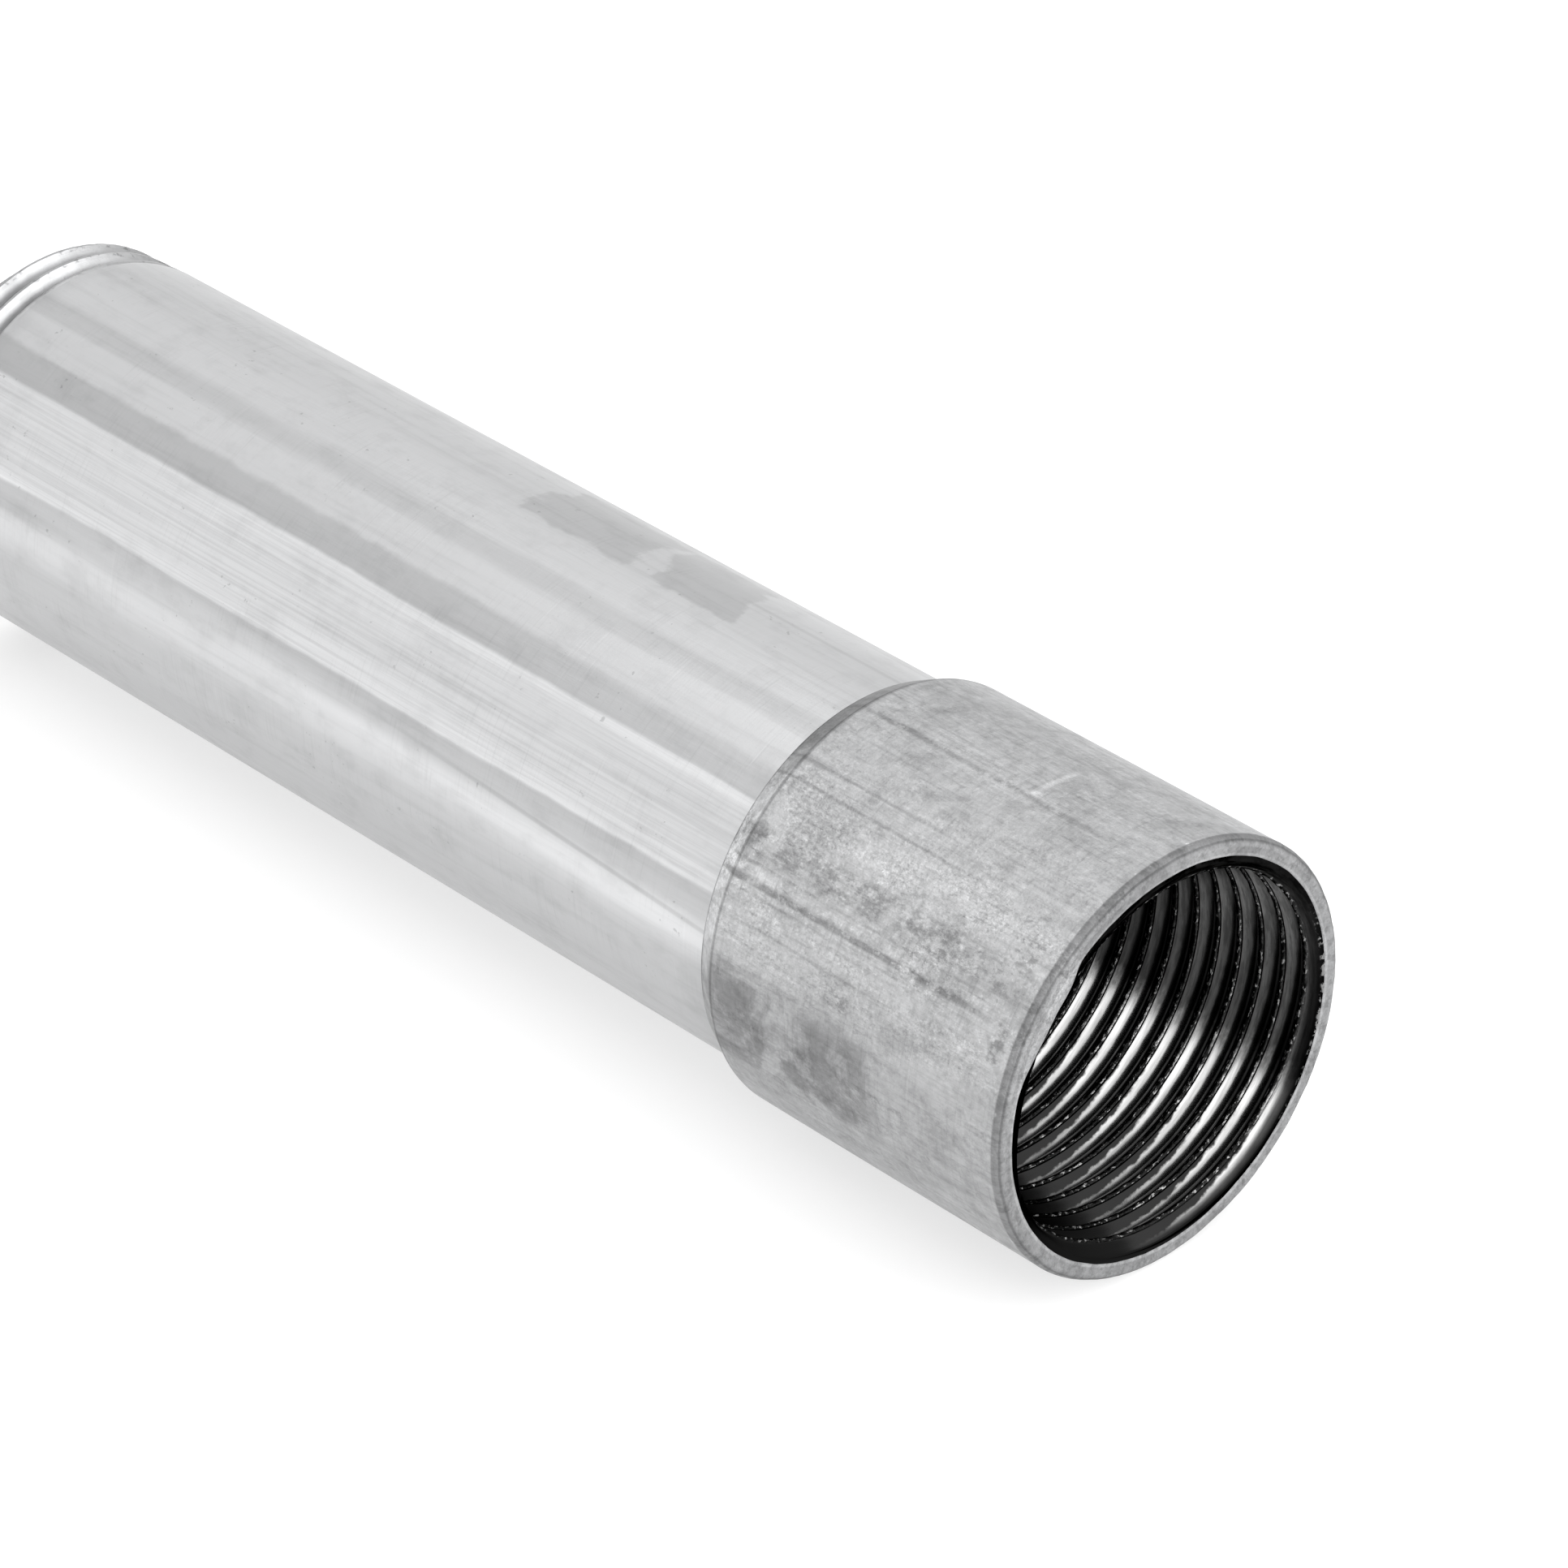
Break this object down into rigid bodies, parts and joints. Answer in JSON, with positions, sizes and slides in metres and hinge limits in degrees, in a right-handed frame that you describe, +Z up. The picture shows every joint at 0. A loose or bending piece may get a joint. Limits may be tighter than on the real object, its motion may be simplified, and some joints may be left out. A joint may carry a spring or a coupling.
{
  "type": "pipe nipple with coupling",
  "caption": "Short galvanised steel pipe nipple with male threads at its ends and an internally threaded coupling sleeve screwed onto one end, open mouth facing +X.",
  "frame": {"origin": "under the middle of the assembly, on the surface that the coupling rests on", "axes": "+X along the pipe towards the coupling's open mouth, +Z up, with the pipe's axis 14.478 mm above the origin"},
  "size_m": [0.108, 0.029, 0.029],
  "materials": {
    "pipe_zinc": "bright zinc coat, drawn smooth, with soft lengthwise bands",
    "coupling_zinc": "dull mottled zinc coat with dark streaks and fine scratches"
  },
  "bodies": {
    "nipple": {"pipe_nipple": "pipe_zinc"},
    "coupling": {"coupling": "coupling_zinc"}
  },
  "joints": [
    {"name": "coupling_turn", "type": "hinge", "parent": "nipple", "child": "coupling", "pos_m": [0.04127, 0, 0.01448], "axis": [1, 0, 0], "range_deg": [0, 1260]}
  ]
}
